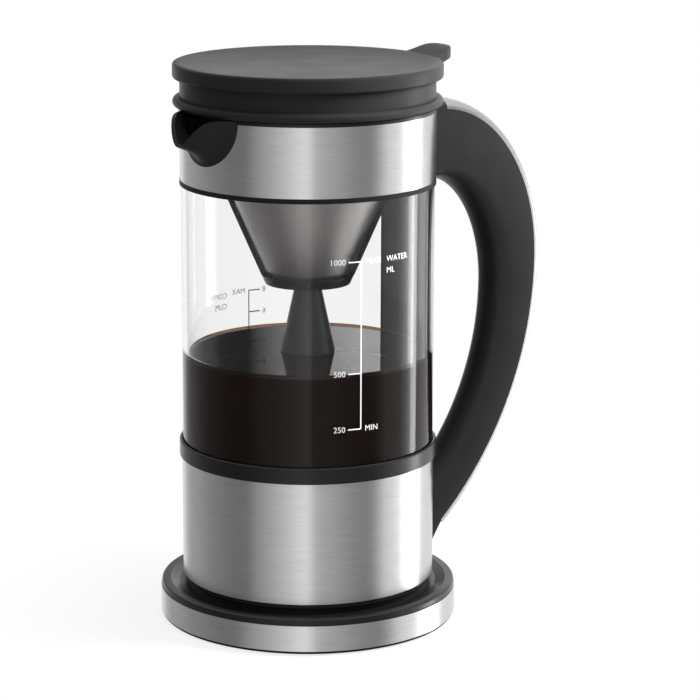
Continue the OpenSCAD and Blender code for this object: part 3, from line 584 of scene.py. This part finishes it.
def pale_floor():
    """A white disc that shows the shadow near the object and fades into the white round it."""
    bm = bmesh.new()
    bmesh.ops.create_circle(bm, cap_ends=True, radius=FLOOR_R, segments=FLOOR_STEPS)
    mesh = bpy.data.meshes.new("floor")
    bm.to_mesh(mesh)
    bm.free()
    mat = bpy.data.materials.new("floor_white")
    mat.use_nodes = True
    g = Graph(mat.node_tree)
    out = g.add("ShaderNodeOutputMaterial")
    plain = g.add("ShaderNodeBsdfDiffuse")
    plain.inputs["Color"].default_value = (FLOOR_TONE, FLOOR_TONE, FLOOR_TONE, 1.0)
    glow = g.add("ShaderNodeEmission")
    glow.inputs["Strength"].default_value = 1.0
    away = g.add("ShaderNodeVectorMath", operation="LENGTH")
    g.join(g.place(), away.inputs[0])
    white = g.spread(away.outputs["Value"], FADE_R, FLOOR_R, FLOOR_WHITE, 1.0)
    path = g.add("ShaderNodeLightPath")
    seen = g.math("ADD", path.outputs["Is Camera Ray"], path.outputs["Is Transmission Ray"], True)
    mix = g.add("ShaderNodeMixShader")
    g.join(g.math("MULTIPLY", seen, white), mix.inputs[0])
    g.join(plain.outputs[0], mix.inputs[1])
    g.join(glow.outputs[0], mix.inputs[2])
    # Metal shows the white round the floor instead of the small disc itself
    clear = g.add("ShaderNodeBsdfTransparent")
    shown = g.add("ShaderNodeMixShader")
    g.join(path.outputs["Is Glossy Ray"], shown.inputs[0])
    g.join(mix.outputs[0], shown.inputs[1])
    g.join(clear.outputs[0], shown.inputs[2])
    g.join(shown.outputs[0], out.inputs["Surface"])
    mesh.materials.append(mat)
    floor = bpy.data.objects.new("floor", mesh)
    scene.collection.objects.link(floor)


TO_CAMERA = (math.sin(CAMERA_HEADING), -math.cos(CAMERA_HEADING), 0.0)
TO_RIGHT = (math.cos(CAMERA_HEADING), math.sin(CAMERA_HEADING), 0.0)
UP = (0.0, 0.0, 1.0)

# Levels, heights (as the sine of the angle over the horizon) and ways to the camera or the right
PEAK = 9.0
OVERHEAD = 1.2
SKY = 1.2
STRIP_FOOT = (-0.55, -0.42)
STRIP_TOP = (-0.08, 0.0)
FLAG_LOW = 0.15
FLAG_HIGH = 0.30
FLAG_BACK = -0.80
FLAG_SIDES = (-0.035, 0.030)
FLAG_SHADES = (0.96, -0.40)
OVERHEAD_RISE = (0.42, 0.75)
BACKDROP_WAY = -0.85
BACKDROP_TOP = 0.07

# Brightness of the studio round the object, by the turn from the camera
STUDIO = [
    (-180.0, 1.0), (-150.0, 0.75), (-140.0, 0.50), (-120.0, 0.45), (-104.0, 0.34), (-72.0, 0.22),
    (-56.0, 0.20), (-48.0, 0.40), (-34.0, 0.56), (-14.0, 0.90), (2.5, 1.35), (3.5, 0.64), (24.0, 0.52),
    (40.0, 0.36), (60.0, 0.24), (68.0, 0.55), (76.0, 1.05), (92.0, 1.15),
    (102.0, 2.4), (107.0, 4.0), (109.0, PEAK), (116.0, PEAK), (117.5, 1.1), (150.0, 1.0), (180.0, 1.0),
]


def studio_world():
    world = bpy.data.worlds.new("studio")
    scene.world = world
    world.use_nodes = True
    g = Graph(world.node_tree)
    out = g.add("ShaderNodeOutputWorld")
    background = g.add("ShaderNodeBackground")
    g.join(background.outputs[0], out.inputs["Surface"])
    way = g.add("ShaderNodeTexCoord").outputs["Generated"]
    turn = g.math("ARCTAN2", g.dot(way, TO_RIGHT), g.dot(way, TO_CAMERA))
    share = g.math("ADD", g.math("DIVIDE", turn, 2.0 * math.pi), 0.5)
    ramp = g.add("ShaderNodeValToRGB")
    g.join(share, ramp.inputs[0])
    stops = ramp.color_ramp.elements
    while len(stops) < len(STUDIO):
        stops.new(0.5)
    for stop, (angle, level) in zip(stops, STUDIO):
        stop.position = angle / 360.0 + 0.5
        stop.color = (level / PEAK, level / PEAK, level / PEAK, 1.0)
    panels = g.math("MULTIPLY", ramp.outputs[0], PEAK)
    height = g.dot(way, UP)
    # The bright strip is a low one, which the lid, the coffee's surface and the basket don't show
    panels = g.math("MINIMUM", panels, g.spread(height, *STRIP_TOP, PEAK, SKY))
    panels = g.math("MINIMUM", panels, g.spread(height, *STRIP_FOOT, SKY, PEAK))
    # A flag at the back, dark to bright, which the coffee's surface shows as a shade from left to right
    side = g.dot(way, TO_RIGHT)
    back = g.math("LESS_THAN", g.dot(way, TO_CAMERA), FLAG_BACK)
    over = g.math("GREATER_THAN", height, FLAG_LOW)
    under = g.math("LESS_THAN", height, FLAG_HIGH)
    region = g.math("MULTIPLY", back, g.math("MULTIPLY", over, under))
    flag = g.math("MULTIPLY", region, g.spread(side, *FLAG_SIDES, *FLAG_SHADES))
    panels = g.math("MULTIPLY", panels, g.math("SUBTRACT", 1.0, flag))
    overhead = g.spread(height, *OVERHEAD_RISE, 0.0, 1.0)
    lights = g.math("ADD", g.math("MULTIPLY", panels, g.math("SUBTRACT", 1.0, overhead)),
                    g.math("MULTIPLY", overhead, OVERHEAD))
    # The white background, which metal shows behind the object, and glass wherever it is looked through
    path = g.add("ShaderNodeLightPath")
    behind = g.math("MULTIPLY", g.math("LESS_THAN", g.dot(way, TO_CAMERA), BACKDROP_WAY),
                    g.math("LESS_THAN", height, BACKDROP_TOP))
    shown = g.math("ADD", path.outputs["Is Glossy Ray"], path.outputs["Is Transmission Ray"], True)
    bounced = g.math("ADD", path.outputs["Glossy Depth"], path.outputs["Diffuse Depth"])
    through = g.math("MULTIPLY", path.outputs["Is Transmission Ray"], g.math("LESS_THAN", bounced, 0.5))
    plain = g.math("ADD", path.outputs["Is Camera Ray"], through, True)
    seen = g.math("ADD", plain, g.math("MULTIPLY", shown, behind), True)
    level = g.math("ADD", g.math("MULTIPLY", lights, g.math("SUBTRACT", 1.0, seen)), seen)
    background.inputs["Color"].default_value = (1.0, 1.0, 1.0, 1.0)
    g.join(level, background.inputs["Strength"])


LAMP_PLACE = Vector((0.28, -0.20, 0.40))
LAMP_AIM = Vector((0.10, 0.0, 0.22))
LAMP_SIZE = 0.20
LAMP_POWER = 5.2


def side_lamp():
    light = bpy.data.lights.new("side_lamp", "AREA")
    light.shape = "DISK"
    light.size = LAMP_SIZE
    light.energy = LAMP_POWER
    lamp = bpy.data.objects.new("side_lamp", light)
    lamp.location = LAMP_PLACE
    lamp.rotation_euler = (LAMP_AIM - LAMP_PLACE).to_track_quat("-Z", "Y").to_euler()
    # Its light counts, its mirror image doesn't
    lamp.visible_glossy = False
    lamp.visible_transmission = False
    scene.collection.objects.link(lamp)


pale_floor()
studio_world()
side_lamp()
